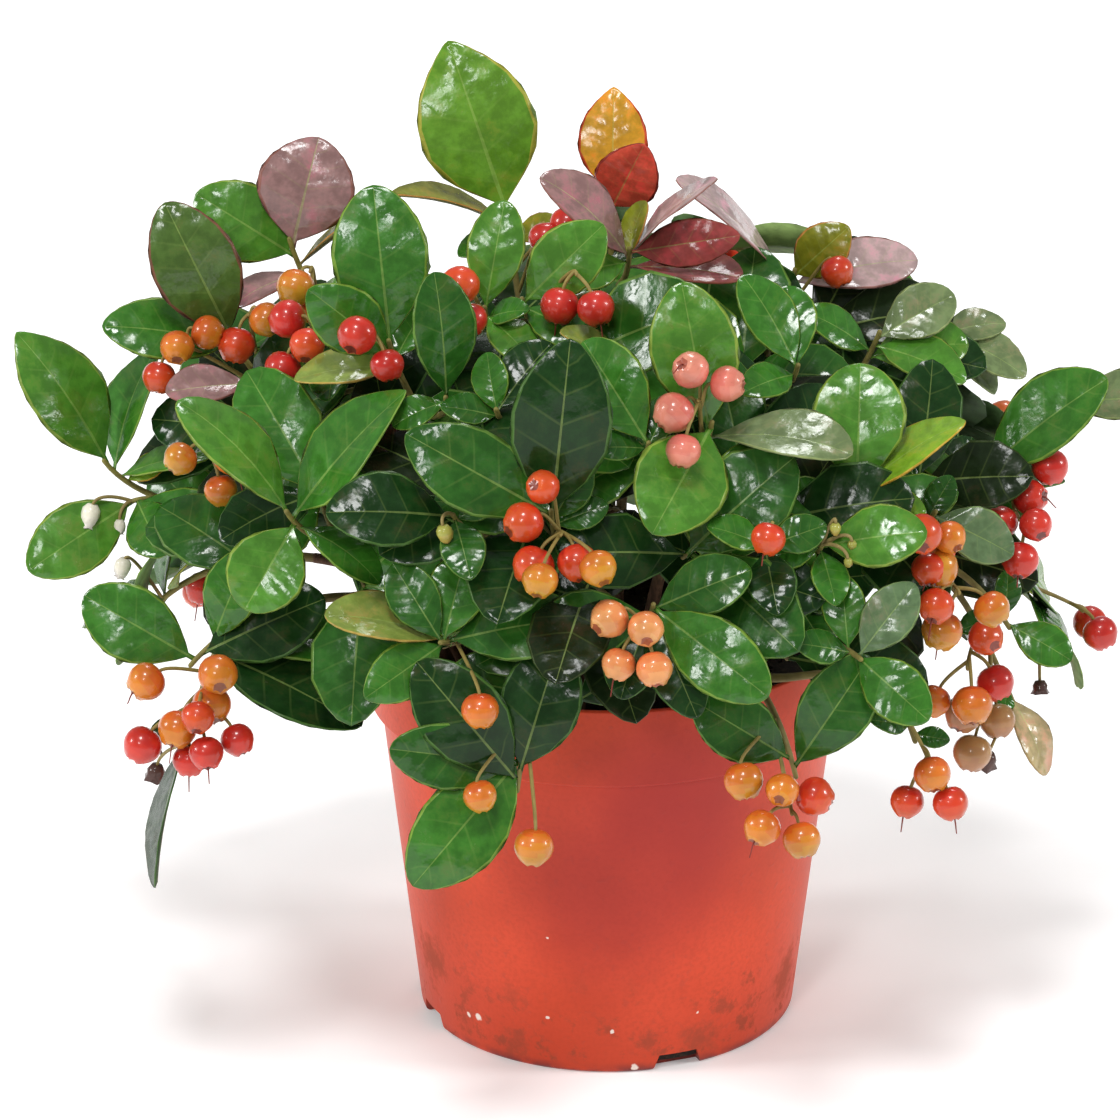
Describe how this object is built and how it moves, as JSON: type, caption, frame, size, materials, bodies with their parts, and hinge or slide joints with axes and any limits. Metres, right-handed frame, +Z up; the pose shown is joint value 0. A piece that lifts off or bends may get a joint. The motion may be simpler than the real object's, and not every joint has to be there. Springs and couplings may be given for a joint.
{
  "type": "potted wintergreen",
  "caption": "Low, round-crowned berrying shrublet with glossy oval leaves and hanging berries, in a tapered plastic nursery pot with a plain rim band.",
  "frame": {"origin": "centre of the pot's flat underside, where it stands", "axes": "+Z up along the pot's axis; -Y towards the side that the picture shows, +X to its right"},
  "size_m": [0.2866, 0.2172, 0.2367],
  "materials": {
    "pot": "satin",
    "soil": "matte",
    "stems": "matte",
    "foliage": "glossy leaves"
  },
  "bodies": {
    "root": {"bough_centre": "stems", "bough_crest": "stems", "bough_crest_left": "stems", "bough_far_left": "stems", "bough_far_right": "stems", "bough_far_side_2": "stems", "bough_far_side_3": "stems", "bough_far_side_4": "stems", "bough_far_side_5": "stems", "bough_far_side_6": "stems", "bough_far_side_7": "stems", "bough_far_side_8": "stems", "bough_front_low": "stems", "bough_front_right": "stems", "bough_hanging_right": "stems", "bough_left": "stems", "bough_low_left": "stems", "bough_low_middle": "stems", "bough_low_middle_left": "stems", "bough_low_right": "stems", "bough_middle": "stems", "bough_middle_right": "stems", "bough_red_crest": "stems", "bough_right": "stems", "bough_shoulder_right": "stems", "bough_top_left": "stems", "bough_upper_left": "stems", "bough_upper_right": "stems", "mass_centre": "foliage", "mass_crest": "foliage", "mass_crest_left": "foliage", "mass_far_left": "foliage", "mass_far_right": "foliage", "mass_far_side_2": "foliage", "mass_far_side_3": "foliage", "mass_far_side_4": "foliage", "mass_far_side_5": "foliage", "mass_far_side_6": "foliage", "mass_far_side_7": "foliage", "mass_far_side_8": "foliage", "mass_front_low": "foliage", "mass_front_right": "foliage", "mass_hanging_right": "foliage", "mass_left": "foliage", "mass_low_left": "foliage", "mass_low_middle": "foliage", "mass_low_middle_left": "foliage", "mass_low_right": "foliage", "mass_middle": "foliage", "mass_middle_right": "foliage", "mass_red_crest": "foliage", "mass_right": "foliage", "mass_shoulder_right": "foliage", "mass_top_left": "foliage", "mass_upper_left": "foliage", "mass_upper_right": "foliage", "pot": "pot", "soil": "soil"}
  },
  "joints": []
}
